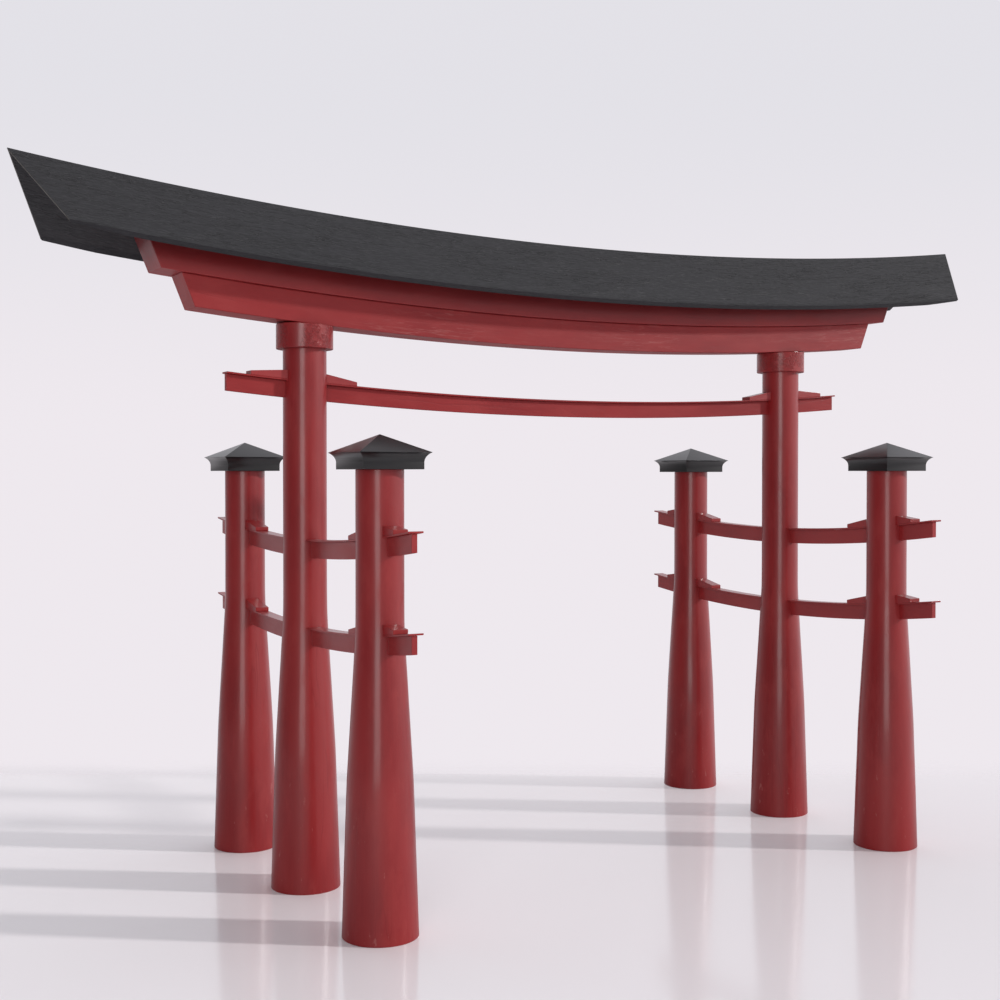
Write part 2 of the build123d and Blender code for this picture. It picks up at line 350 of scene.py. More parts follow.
@dataclass(frozen=True)
class RedLacquer:
    """Satin red lacquer on planed timber, with chalky patches, seams, blisters and scuffed feet.

    It can also have paler lines where it is rubbed along the grain, creases where the paint has
    crinkled, and painted shade: a darker band under the eave, where the eave's shade falls. That
    band runs between two heights, taken where a straight timber would have them. A rise or depth
    is in millimetres, a grit is added roughness and a loss is a share of the coat's gloss.
    """

    STREAKS = Pattern(24.0, 55.0, 6.0, 0.62, (0.30, 0.70))
    CLOUDS = Pattern(3.0, 2.6, 3.0, span=(0.35, 0.65))
    PATCHES = Pattern(2.6, 7.5, 4.0, 0.6)
    WAVES = Pattern(5.0, 6.5, 2.0)
    SEAMS = Pattern(16.0, 6.0, 3.0, 0.55, (0.016, 0.0))
    SEAM_PLACES = Pattern(4.0, 1.6, 2.0, span=(0.50, 0.60))
    BLISTERS = Pattern(1.3, 130.0, 2.0, 0.6)
    BLISTER_PLACES = Pattern(2.0, 5.0, 2.0, span=(0.55, 0.64))
    SCUFFS = Pattern(3.2, 21.0, 4.0, 0.62, (0.655, 0.70))
    RUBS = Pattern(18.0, 34.0, 4.0, 0.6, (0.030, 0.0))
    RUB_PLACES = Pattern(5.0, 2.4, 3.0, span=(0.42, 0.60))
    CREASES = Pattern(1.0, 48.0, 3.0, 0.6, (0.0, 0.09))
    CREASE_PLACES = Pattern(1.0, 9.0, 2.0, span=(0.47, 0.56))

    CHALKY_PATCH = (0.46, 0.74)
    DULL_PATCH = (0.50, 0.75)
    DULL_BLISTER = (0.48, 0.62)
    UNDERSIDE = (-0.6, -0.9)
    SCUFFED_BELOW = (1.15, 0.35)
    COAT_FROM_GROUND = (-0.5, 1.0)

    PATCH_RISE, STREAK_RISE, SEAM_DEPTH, BLISTER_RISE = 0.5, 0.22, 0.5, 0.9
    PATCH_GRIT, SCUFF_GRIT, UNDER_GRIT = 0.30, 0.12, 0.25
    DULL_LOSS, END_LOSS, UNDER_LOSS = 0.5, 0.5, 0.8

    name: str = "red_lacquer"
    base: Colour = (0.262, 0.014, 0.015)
    deep: Colour = (0.205, 0.008, 0.010)
    chalky: Colour = (0.300, 0.034, 0.033)
    worn: Colour = (0.380, 0.125, 0.115)
    # Tint multiplied into the colour as painted shade under the eave.
    eave_shade_tint: Colour = (0.62, 0.56, 0.58)
    streaked: float = 0.35
    patched: float = 0.42
    seamed: float = 0.55
    scuffed: float = 0.45
    rubbed: float = 0.0
    # Heights between which the painted shade under the eave fades in.
    eave_shade_heights: tuple[float, float] | None = None
    roughness: float = 0.46
    specular: float = 0.30
    coat: float = 0.50
    coat_roughness: float = 0.21
    waves: float = 2.4
    crinkle: float = 0.0

    @cache
    def surface(self, grain: Grain) -> bpy.types.Material:
        """Build the material for timbers with one grain.

        Args:
            grain: Direction of the timber's grain.

        Returns:
            The material.
        """
        name = f"{self.name}_{grain.way.name.lower()}_{grain.rise_radius:.0f}"
        material, graph = blank_surface(name)
        height = graph.split(graph.node("ShaderNodeTexCoord", output="Object"))[2]
        under = facing_up(graph).ramp(*self.UNDERSIDE)
        streaks = self.STREAKS.noise(graph, grain)
        patches = self.PATCHES.noise(graph, grain)
        seams = self.SEAMS.lines(graph, grain) * self.SEAM_PLACES.marks(graph, grain)
        blisters = self.BLISTERS.noise(graph, grain) * self.BLISTER_PLACES.marks(graph, grain)
        scuffs = self.SCUFFS.marks(graph, grain) * height.ramp(*self.SCUFFED_BELOW)

        tone = self.tone(graph, grain, streaks, patches, seams, scuffs)
        relief = self.WAVES.noise(graph, grain) * self.waves + patches * self.PATCH_RISE
        relief = relief + streaks * self.STREAK_RISE - seams * self.SEAM_DEPTH
        relief = relief + blisters * self.BLISTER_RISE
        if self.crinkle:
            creased = self.CREASE_PLACES.marks(graph, grain)
            relief = relief + self.CREASES.lines(graph, grain) * creased * self.crinkle
        dull = patches.ramp(*self.DULL_PATCH).largest(blisters.ramp(*self.DULL_BLISTER))
        matt = (grain.ends(graph) * self.END_LOSS).largest(under * self.UNDER_LOSS)
        gloss = (1 - dull * self.DULL_LOSS) * (1 - matt) * height.ramp(*self.COAT_FROM_GROUND)
        roughness = self.roughness + (patches - 0.5) * self.PATCH_GRIT
        sockets = {
            "Base Color": tone,
            "Roughness": roughness + scuffs * self.SCUFF_GRIT + under * self.UNDER_GRIT,
            "Specular IOR Level": self.specular,
            "Coat Weight": gloss * self.coat,
            "Coat Roughness": self.coat_roughness,
            "Normal": bump(graph, relief),
        }
        put_out(graph, graph.node("ShaderNodeBsdfPrincipled", inputs=sockets))
        return material

    def tone(
        self, graph: Graph, grain: Grain,
        streaks: Signal, patches: Signal, seams: Signal, scuffs: Signal,
    ) -> Signal:
        """Mix the lacquer's colour.

        Args:
            graph: Surface's node tree.
            grain: Direction of the timber's grain.
            streaks: Noise of the fine streaks.
            patches: Noise of the chalky patches.
            seams: Mask of the seams.
            scuffs: Mask of the scuffs.

        Returns:
            The colour.
        """
        tone = graph.blend(self.CLOUDS.marks(graph, grain), self.deep, self.base)
        tone = graph.blend(streaks.ramp(*self.STREAKS.span) * self.streaked, tone, self.base)
        tone = graph.blend(patches.ramp(*self.CHALKY_PATCH) * self.patched, tone, self.chalky)
        tone = graph.blend(seams * self.seamed, tone, self.deep)
        tone = graph.blend(scuffs * self.scuffed, tone, self.worn)
        if self.rubbed:
            rubs = self.RUBS.lines(graph, grain) * self.RUB_PLACES.marks(graph, grain)
            tone = graph.blend(rubs * self.rubbed, tone, self.worn)
        # Painted shade: the red is darkened towards the eave, where the eave's shade falls.
        if self.eave_shade_heights:
            eave_shade_mask = grain.straight_height(graph).ramp(*self.eave_shade_heights)
            tone = graph.blend(eave_shade_mask, tone, self.eave_shade_tint, "MULTIPLY")
        return tone


@dataclass(frozen=True)
class BlackStain:
    """Charcoal-black stain on timber, with raised lengthwise grain.

    It can also have checks, which are fine open cracks along the grain, paler cut ends, which are
    bare end grain and also a painted highlight along the cut edge, and a paler and rougher band at
    the eave, whose paler tone is painted light that lifts the shade on the eave's face and whose
    roughness keeps a highlight off it. That band runs between two heights, taken where a straight
    timber would have them. A tone is a share of the pale colour, a rise a share of the relief and
    a grit added roughness.
    """

    FIBRES = Pattern(7.0, 120.0, 4.0, 0.66)
    BANDS = Pattern(11.2, 26.0, 3.0, 0.6)
    CLOUDS = Pattern(4.0, 1.6, 2.0)
    CHECKS = Pattern(11.0, 26.0, 4.0, 0.55, (0.034, 0.0))
    CHECK_PLACES = Pattern(5.0, 5.0, 3.0, span=(0.38, 0.54))
    RIDGE = (0.42, 0.66)
    OUTSIDE = (-0.9, -0.5)

    # The fourth tone pales the eave band as painted light.
    RIDGE_TONE, CLOUD_TONE, CHECK_TONE, SOAKED_TONE = 0.45, 0.35, 0.3, 0.6
    FIBRE_RISE, BAND_RISE, CHECK_RISE, UNDERSIDE_RISE = 0.6, 0.8, 2.6, 0.1
    GRAIN_GRIT, SOAKED_GRIT = 0.04, 0.4

    name: str
    base: Colour = (0.0115, 0.0115, 0.0135)
    pale: Colour = (0.033, 0.0325, 0.0365)
    # Cut ends: bare end grain, and a painted highlight along the cut edge.
    end_grain_and_highlight: Colour = (0.135, 0.125, 0.105)
    bare_ends_and_highlight: float = 0.0
    roughness: float = 0.46
    specular: float = 0.40
    relief: float = 3.0
    checked: float = 0.0
    # Heights of the eave band, paled as painted light and roughened.
    rough_and_painted_light_band: tuple[float, float] | None = None

    @cache
    def surface(self, grain: Grain) -> bpy.types.Material:
        """Build the material for timbers with one grain.

        Args:
            grain: Direction of the timber's grain.

        Returns:
            The material.
        """
        material, graph = blank_surface(self.name)
        fibres = self.FIBRES.noise(graph, grain)
        bands = self.BANDS.noise(graph, grain)
        clouds = self.CLOUDS.noise(graph, grain)
        checks = self.CHECKS.lines(graph, grain) * self.CHECK_PLACES.marks(graph, grain)
        checks = checks * self.checked
        ridges = fibres.ramp(*self.RIDGE)

        paler = ridges * self.RIDGE_TONE + clouds * self.CLOUD_TONE + checks * self.CHECK_TONE
        tone = graph.blend(paler, self.base, self.pale)
        roughness = self.roughness + (1 - ridges) * self.relief * self.GRAIN_GRIT
        # Painted light: the band at the eave is paled to lift the shade on the eave's face, and
        # roughened so that it shows no highlight.
        if self.rough_and_painted_light_band:
            rough_and_lit_band = grain.straight_height(graph).ramp(*self.rough_and_painted_light_band)
            tone = graph.blend(rough_and_lit_band * self.SOAKED_TONE, tone, self.pale)
            roughness = roughness + rough_and_lit_band * self.SOAKED_GRIT
        # Paler cut ends: bare end grain, and a painted highlight along the cut edge.
        tone = graph.blend(grain.ends(graph) * self.bare_ends_and_highlight, tone, self.end_grain_and_highlight)
        outside = facing_up(graph).ramp(*self.OUTSIDE)
        outside = outside * (1 - self.UNDERSIDE_RISE) + self.UNDERSIDE_RISE
        relief = fibres * self.FIBRE_RISE + bands * self.BAND_RISE + checks * self.CHECK_RISE
        relief = relief * outside * self.relief
        sockets = {
            "Base Color": tone,
            "Roughness": roughness,
            "Specular IOR Level": self.specular,
            "Normal": bump(graph, relief),
        }
        put_out(graph, graph.node("ShaderNodeBsdfPrincipled", inputs=sockets))
        return material


@dataclass(frozen=True)
class Finishes:
    """Finish of each kind of timber."""

    posts: RedLacquer = RedLacquer()
    collars: RedLacquer = RedLacquer("crinkled_red_lacquer", waves=0.4, crinkle=3.2)
    lower_lintel: RedLacquer = RedLacquer(
        "rubbed_red_lacquer", rubbed=0.45, specular=0.26, coat=0.34
    )
    # The upper lintel carries painted shade under the eave.
    upper_lintel: RedLacquer = RedLacquer("sheltered_red_lacquer", eave_shade_heights=(4.265, 4.400))
    tie_beam: RedLacquer = RedLacquer("planed_red_lacquer", specular=0.22, coat=0.30)
    side_beams: RedLacquer = RedLacquer(
        "bright_red_lacquer", base=(0.302, 0.017, 0.018), deep=(0.242, 0.010, 0.012),
        specular=0.34, coat=0.60,
    )
    # The roof's paler eave band is painted light; its paler cut ends are bare end grain and a
    # painted highlight.
    roof: BlackStain = BlackStain(
        "black_roof", bare_ends_and_highlight=0.45, checked=1.0, rough_and_painted_light_band=(4.440, 4.405)
    )
    caps: BlackStain = BlackStain(
        "black_cap", base=(0.0045, 0.0045, 0.005), pale=(0.0085, 0.0085, 0.009),
        roughness=0.28, specular=0.55, relief=0.2,
    )


# ------------------------------------------------------------------------------------------
# Shape trees
# ------------------------------------------------------------------------------------------
class ShapeTree:
    """A Geometry Nodes tree with named inputs, applied to one mesh at a time."""

    def __init__(self, name: str, sizes: dict[str, float | int], needs_section: bool) -> None:
        """Make the tree's interface.

        Args:
            name: Name of the tree.
            sizes: Named inputs with their usual values; whole numbers make integer inputs.
            needs_section: Whether the mesh that the tree is put on is its section.
        """
        self.tree = bpy.data.node_groups.new(name, "GeometryNodeTree")
        self.graph = Graph(self.tree)
        face = self.tree.interface
        if needs_section:
            face.new_socket("Section", in_out="INPUT", socket_type="NodeSocketGeometry")
        for size, usual in sizes.items():
            kind = "NodeSocketInt" if isinstance(usual, int) else "NodeSocketFloat"
            face.new_socket(size, in_out="INPUT", socket_type=kind).default_value = usual
        face.new_socket("Material", in_out="INPUT", socket_type="NodeSocketMaterial")
        face.new_socket("Geometry", in_out="OUTPUT", socket_type="NodeSocketGeometry")
        self.group = self.tree.nodes.new("NodeGroupInput")

    def input(self, name: str) -> Signal:
        """Hand back one of the tree's named inputs."""
        return Signal(self.graph, self.group.outputs[name])

    def finish(self, geometry: Signal) -> None:
        """Realize the geometry, give it its material and put it out.

        Args:
            geometry: Geometry that the tree made.
        """
        whole = self.graph.node("GeometryNodeRealizeInstances", inputs={"Geometry": geometry})
        sockets = {"Geometry": whole, "Material": self.input("Material")}
        dressed = self.graph.node("GeometryNodeSetMaterial", inputs=sockets)
        self.graph.node("NodeGroupOutput", inputs={"Geometry": dressed})

    def apply(
        self, name: str, base: bpy.types.Mesh, values: dict[str, Operand]
    ) -> bpy.types.Object:
        """Run the tree on a mesh and keep the result as a plain mesh.

        Args:
            name: Name of the piece.
            base: Mesh that the modifier is put on.
            values: Values of the named inputs.

        Returns:
            The piece, without the modifier.
        """
        holder = bpy.data.objects.new(f"{name}_base", base)
        bpy.context.scene.collection.objects.link(holder)
        modifier = holder.modifiers.new("shape", "NODES")
        modifier.node_group = self.tree
        for item in self.tree.interface.items_tree:
            if item.in_out == "INPUT" and item.name in values:
                modifier[item.identifier] = values[item.name]
        graph = bpy.context.evaluated_depsgraph_get()
        mesh = bpy.data.meshes.new_from_object(holder.evaluated_get(graph))
        bpy.data.objects.remove(holder)
        mesh.name = name
        piece = bpy.data.objects.new(name, mesh)
        bpy.context.scene.collection.objects.link(piece)
        return piece


def turned_post_tree() -> ShapeTree:
    """Tree of a post: a circle carried up an upright line, as wide as the profile says.

    Returns:
        The tree.
    """
    sizes = {
        "Foot X": 0.0, "Foot Y": 0.0, "Height": 3.0, "Shaft Radius": 0.159,
        "Shaft From": 2.01, "Swell Height": 1.01, "Swell Flare": 0.061, "Foot Flare": 0.094,
        "Softness": 0.07, "Unevenness": 0.0006, "Wobble Across": 9.0, "Wobble Along": 1.6,
        "Sides": 96, "Rows": 150,
    }
    shape = ShapeTree("turned_post", sizes, needs_section=False)
    graph = shape.graph
    top = graph.join(0.0, 0.0, shape.input("Height"))
    line = graph.node("GeometryNodeCurvePrimitiveLine", inputs={"End": top})
    rows = {"Curve": line, "Count": shape.input("Rows")}
    line = graph.node("GeometryNodeResampleCurve", inputs=rows)
    height = graph.split(graph.node("GeometryNodeInputPosition"))[2]

    def eased(from_height: Signal) -> Signal:
        """Distance below a height, eased round the bend there.

        Args:
            from_height: The height.

        Returns:
            The distance, which fades to nothing above the height.
        """
        below = from_height - height
        softness = shape.input("Softness")
        return (below + (below * below + softness * softness).root()) * 0.5

    swell_height, swell_flare = shape.input("Swell Height"), shape.input("Swell Flare")
    upper = swell_flare / (shape.input("Shaft From") - swell_height)
    lower = (shape.input("Foot Flare") - swell_flare) / swell_height
    radius = shape.input("Shaft Radius") + upper * eased(shape.input("Shaft From"))
    radius = radius - (upper - lower) * eased(swell_height)
    circle = {"Resolution": shape.input("Sides"), "Radius": 1.0}
    ring = graph.node("GeometryNodeCurvePrimitiveCircle", inputs=circle)
    sweep = {"Curve": line, "Profile Curve": ring, "Scale": radius, "Fill Caps": True}
    post = graph.node("GeometryNodeCurveToMesh", inputs=sweep)
    x, y, z = graph.split(graph.node("GeometryNodeInputPosition"))
    foot_x, foot_y = shape.input("Foot X"), shape.input("Foot Y")
    across, along = shape.input("Wobble Across"), shape.input("Wobble Along")
    place = graph.join((x + foot_x) * across, (y + foot_y) * across, z * along)
    wobble = graph.noise(place, 1.0, 2.0) - 0.5
    swell = 1 + wobble * shape.input("Unevenness") * 2.0 / shape.input("Shaft Radius")
    spot = graph.join(x * swell + foot_x, y * swell + foot_y, z)
    shape.finish(graph.node("GeometryNodeSetPosition", inputs={"Geometry": post, "Position": spot}))
    return shape


def swept_timber_tree() -> ShapeTree:
    """Tree of a curved timber: an upright section carried along the rise, with leaning ends.

    The section is a closed loop of edges, drawn with its -x across the timber and its -y as the
    height at mid length. Roof boards are also thinned from below towards their ends.

    Returns:
        The tree.
    """
    sizes = {
        "Half Length": 1.0, "Reference Height": 0.0, "Lean": 0.0, "Rise Radius": 30.0,
        "Stations": 65, "Ridge Height": 0.0, "Pitch": 0.0, "Reach": 1.0, "End Share": 1.0,
        "Taper Length": 0.3,
    }
    shape = ShapeTree("swept_timber", sizes, needs_section=True)
    graph = shape.graph
    ends = {"Start": (-1.0, 0.0, 0.0), "End": (1.0, 0.0, 0.0)}
    line = graph.node("GeometryNodeCurvePrimitiveLine", inputs=ends)
    count = {"Curve": line, "Count": shape.input("Stations")}
    line = graph.node("GeometryNodeResampleCurve", inputs=count)
    line = graph.node("GeometryNodeSetCurveNormal", {"mode": "Z_UP"}, {"Curve": line})
    section = graph.node("GeometryNodeMeshToCurve", inputs={"Mesh": shape.input("Section")})
    sweep = {"Curve": line, "Profile Curve": section, "Fill Caps": True}
    bar = graph.node("GeometryNodeCurveToMesh", inputs=sweep)

    share, y, z = graph.split(graph.node("GeometryNodeInputPosition"))
    pitch = shape.input("Pitch")
    sine, cosine = pitch.math("SINE", pitch), pitch.math("COSINE", pitch)
    half, lean = shape.input("Half Length"), shape.input("Lean")
    reference = shape.input("Reference Height")
    from_end = (half + lean * (z - reference)) * (1 - abs(share))
    full = (from_end / shape.input("Taper Length")).ramp(0.0, 1.0, smooth=False)
    depth = (shape.input("Ridge Height") - z) * cosine - abs(y) * sine
    lift = depth * (1 - shape.input("End Share")) * (1 - full)
    outward = abs(y) / shape.input("Reach")
    new_y = y + y.sign() * sine * lift * outward
    new_z = z + lift * (cosine + (1 - outward) * sine * sine / cosine)
    x = share * (half + lean * (new_z - reference))
    radius = shape.input("Rise Radius")
    spot = graph.join(x, new_y, new_z + radius - (radius * radius - x * x).root())
    shape.finish(graph.node("GeometryNodeSetPosition", inputs={"Geometry": bar, "Position": spot}))
    return shape


# ------------------------------------------------------------------------------------------
# Workshop: what every sub-assembly uses to make and seat its pieces
# ------------------------------------------------------------------------------------------
@dataclass(frozen=True)
class Sweep:
    """Sizes of one curved timber."""

    half: float
    rise_radius: float
    reference: float = 0.0
    lean: float = 0.0
    stations: int = 65
    ridge: float = 0.0
    pitch: float = 0.0
    reach: float = 1.0
    end_share: float = 1.0
    taper: float = 0.3

    def values(self) -> dict[str, Operand]:
        """Give the sizes by the names of the sweeping tree's inputs.

        Returns:
            The tree's values.
        """
        return {
            "Half Length": self.half, "Rise Radius": self.rise_radius,
            "Reference Height": self.reference, "Lean": self.lean, "Stations": self.stations,
            "Ridge Height": self.ridge, "Pitch": self.pitch, "Reach": self.reach,
            "End Share": self.end_share, "Taper Length": self.taper,
        }


class Workshop:
    """Makes pieces from trees and solids, softens their edges and seats them on the gate."""

    def __init__(self) -> None:
        """Build the shape trees once."""
        self.posts = turned_post_tree()
        self.timbers = swept_timber_tree()
        self.made = 0

    def turn(self, name: str, values: dict[str, Operand]) -> bpy.types.Object:
        """Turn a post from the values of the turning tree's named inputs."""
        return self.posts.apply(name, bpy.data.meshes.new(name), values)

    def sweep(
        self, name: str, section: Section, sizes: Sweep, material: bpy.types.Material
    ) -> bpy.types.Object:
        """Sweep a section along its rise.

        Args:
            name: Name of the piece.
            section: Corners as (across, height), in order.
            sizes: Length, rise and ends.
            material: Its finish.

        Returns:
            The piece.
        """
        base = bpy.data.meshes.new(name)
        count = len(section)
        edges = [(i, (i + 1) % count) for i in range(count)]
        base.from_pydata([(-y, -z, 0.0) for y, z in section], edges, [])
        return self.timbers.apply(name, base, {**sizes.values(), "Material": material})

    def copy(self, node: str, material: bpy.types.Material) -> bpy.types.Object:
        """Copy a solid, merged into clean faces.

        Args:
            node: Name of the CAD node.
            material: Its finish.

        Returns:
            The piece.
        """
        work = self.merged(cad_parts[node].data)
        bmesh.ops.dissolve_limit(work, angle_limit=FLAT, verts=work.verts, edges=work.edges)
        mesh = bpy.data.meshes.new(f"{node}_soft")
        work.to_mesh(mesh)
        work.free()
        return self.place(mesh, material)

    def merged(self, mesh: bpy.types.Mesh) -> bmesh.types.BMesh:
        """Open a mesh for work, with its double corners merged.

        Args:
            mesh: The mesh, which is left as it is.

        Returns:
            A working copy.
        """
        work = bmesh.new()
        work.from_mesh(mesh)
        bmesh.ops.remove_doubles(work, verts=work.verts, dist=MERGE)
        return work

    def place(self, mesh: bpy.types.Mesh, material: bpy.types.Material) -> bpy.types.Object:
        """Give a mesh its finish and put it in the scene.

        Args:
            mesh: The mesh.
            material: Its finish.

        Returns:
            The piece.
        """
        mesh.materials.append(material)
        piece = bpy.data.objects.new(mesh.name, mesh)
        bpy.context.scene.collection.objects.link(piece)
        return piece

    def keep_above(self, piece: bpy.types.Object, node: str, height: float) -> None:
        """Add the part of a solid that lies above a height.

        Args:
            piece: Piece that gets it.
            node: CAD node that it is taken from.
            height: Height of the cut.
        """
        work = self.merged(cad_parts[node].data)
        whole = [*work.verts, *work.edges, *work.faces]
        cut = {"plane_co": (0.0, 0.0, height), "plane_no": (0.0, 0.0, 1.0), "clear_inner": True}
        bmesh.ops.bisect_plane(work, geom=whole, **cut)
        work.from_mesh(piece.data)
        work.to_mesh(piece.data)
        work.free()

    def seat(
        self, piece: bpy.types.Object, slot: Slot, round_edge: float, *nodes: str,
        angle: float = 30.0, smooth: bool = True,
    ) -> None:
        """Round a piece's edges and let it stand for its CAD nodes.

        Args:
            piece: The finished piece.
            slot: Material slot that its finish belongs to; not used.
            round_edge: Width of the rounded edges.
            *nodes: CAD nodes that it stands for.
            angle: Least bend of an edge that is rounded, in degrees.
            smooth: Whether its faces are shaded as one curved surface.
        """
        work = self.merged(piece.data)
        bmesh.ops.recalc_face_normals(work, faces=work.faces)
        work.to_mesh(piece.data)
        work.free()
        if smooth:
            piece.data.shade_smooth()
        else:
            piece.data.shade_flat()
        bevel = piece.modifiers.new("rounded_edges", "BEVEL")
        bevel.width = round_edge
        bevel.segments = EDGE_SEGMENTS
        bevel.limit_method = "ANGLE"
        bevel.angle_limit = math.radians(angle)
        bevel.harden_normals = smooth
        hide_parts(*nodes)
        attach(piece, BODY)
        self.made += 1
        LOG.info("%s: %d faces before rounding", piece.name, len(piece.data.polygons))


# ------------------------------------------------------------------------------------------
# Sub-assemblies
# ------------------------------------------------------------------------------------------
@dataclass
class Lintels:
    """The two curved lintels, the upper one with a gabled top under the roof."""

    workshop: Workshop
    lower_finish: RedLacquer
    upper_finish: RedLacquer
    rise_radius: float = LINTEL_RADIUS
    lower_height: float = 0.224
    lower_overhang: float = 0.8585
    upper_overhang: float = 1.1055
    end_slant: float = 0.42
    stations: int = 97
    edge: float = 0.005

    def lintel(
        self, node: str, section: Section, half: float, lean: float, finish: RedLacquer
    ) -> None:
        """Sweep one lintel.

        Args:
            node: CAD node that it stands for.
            section: Corners as (across, height), from the lowest.
            half: Half its length along its underside.
            lean: How far its ends lean out in a metre of height.
            finish: Its finish.
        """
        material = finish.surface(Grain(Way.LENGTH, self.rise_radius))
        sizes = Sweep(half, self.rise_radius, section[0][1], lean, self.stations)
        piece = self.workshop.sweep(f"{node}_timber", section, sizes, material)
        self.workshop.seat(piece, Slot.LACQUER, self.edge, node)

    def build(self, post_x: float) -> None:
        """Sweep both lintels.

        Args:
            post_x: Distance of the main posts from the middle.
        """
        low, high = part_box("lower_lintel")
        half, top = post_x + self.lower_overhang, low.z + self.lower_height
        section = [(low.y, low.z), (high.y, low.z), (high.y, top), (low.y, top)]
        self.lintel("lower_lintel", section, half, self.end_slant, self.lower_finish)

        low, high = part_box("upper_lintel")
        half, apex = post_x + self.upper_overhang, high.z - rise(high.x, self.rise_radius)
        lean = (high.x - half) / (apex - low.z)
        shoulder = apex - high.y * math.tan(ROOF_PITCH)
        foot = [(low.y, low.z), (high.y, low.z)]
        section = [*foot, (high.y, shoulder), (0.0, apex), (low.y, shoulder)]
        self.lintel("upper_lintel", section, half, lean, self.upper_finish)


@dataclass
class Roof:
    """Two roof boards, mitred at the ridge and thinned from below towards their ends."""

    workshop: Workshop
    finish: BlackStain
    rise_radius: float = LINTEL_RADIUS
    drop: float = ROOF_DROP
    thickness: float = 0.042
    end_thickness: float = 0.020
    taper: float = 0.345
    pitch: float = ROOF_PITCH
    eave_half: float = 4.053
    stations: int = 161
    edge: float = 0.0025
    mitre: float = 0.00015

    def build(self) -> None:
        """Sweep both boards."""
        material = self.finish.surface(Grain(Way.LENGTH, self.rise_radius))
        sine, cosine = math.sin(self.pitch), math.cos(self.pitch)
        for end, sign in zip(ENDS, (-1, 1)):
            low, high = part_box(f"roof_board_{end}")
            reach = max(abs(low.y), abs(high.y))
            ridge = high.z - rise(high.x, self.rise_radius)
            eave = ridge - self.drop
            section = [
                (sign * self.mitre, ridge),
                (sign * reach, eave),
                (sign * (reach - self.thickness * sine), eave - self.thickness * cosine),
                (sign * self.mitre, ridge - self.thickness / cosine),
            ]
            sizes = Sweep(
                self.eave_half, self.rise_radius, eave, (high.x - self.eave_half) / self.drop,
                self.stations, ridge=ridge, pitch=self.pitch, reach=reach,
                end_share=self.end_thickness / self.thickness, taper=self.taper,
            )
            piece = self.workshop.sweep(f"roof_board_{end}_timber", section, sizes, material)
            self.workshop.seat(piece, Slot.ROOF, self.edge, f"roof_board_{end}")


@dataclass
class Beams:
    """Tie beam and side beams with their cover boards and wedges."""

    workshop: Workshop
    finish: RedLacquer
    tie_finish: RedLacquer
    height: float = 0.121
    cover: float = 0.012
    tie_radius: float = 32.800
    side_radius: float = 14.350
    edge: float = 0.003
    cover_edge: float = 0.002

    def bar(self, node: str, way: Way, radius: float, height: float, edge: float) -> None:
        """Sweep one beam or cover board.

        Args:
            node: CAD node that it stands for.
            way: Direction in which it runs.
            radius: Radius of its rise.
            height: Height of its section.
            edge: Width of its rounded edges.
        """
        low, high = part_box(node)
        middle = (low + high) / 2
        along, across = (high - low).x / 2, (high - low).y / 2
        if way is Way.DEPTH:
            along, across = across, along
        top = low.z + height
        section = [(-across, low.z), (across, low.z), (across, top), (-across, top)]
        finish = self.finish if way is Way.DEPTH else self.tie_finish
        material = finish.surface(Grain(way, radius))
        piece = self.workshop.sweep(f"{node}_timber", section, Sweep(along, radius), material)
        if way is Way.DEPTH:
            piece.data.transform(Matrix.Rotation(math.pi / 2, 4, "Z"))
        piece.data.transform(Matrix.Translation((middle.x, middle.y, 0.0)))
        self.workshop.seat(piece, Slot.LACQUER, edge, node)

    def wedge(self, node: str, way: Way, radius: float) -> None:
        """Soften one node of wedges, whose grain runs and rises as their beam does."""
        piece = self.workshop.copy(node, self.finish.surface(Grain(way, radius)))
        self.workshop.seat(piece, Slot.LACQUER, self.edge, node, smooth=False)

    def build(self) -> None:
        """Make the tie beam, the side beams, and what lies on them."""
        self.bar("tie_beam", Way.LENGTH, self.tie_radius, self.height, self.edge)
        self.bar("tie_beam_cover", Way.LENGTH, self.tie_radius, self.cover, self.cover_edge)
        for side in SIDES:
            for place in ("outer", "inner"):
                self.wedge(f"tie_wedge_{side}_{place}", Way.LENGTH, self.tie_radius)
            for level in LEVELS:
                beam, cover = f"side_beam_{side}_{level}", f"side_beam_cover_{side}_{level}"
                self.bar(beam, Way.DEPTH, self.side_radius, self.height, self.edge)
                self.bar(cover, Way.DEPTH, self.side_radius, self.cover, self.cover_edge)
                for end in ENDS:
                    self.wedge(f"side_wedges_{side}_{end}_{level}", Way.DEPTH, self.side_radius)


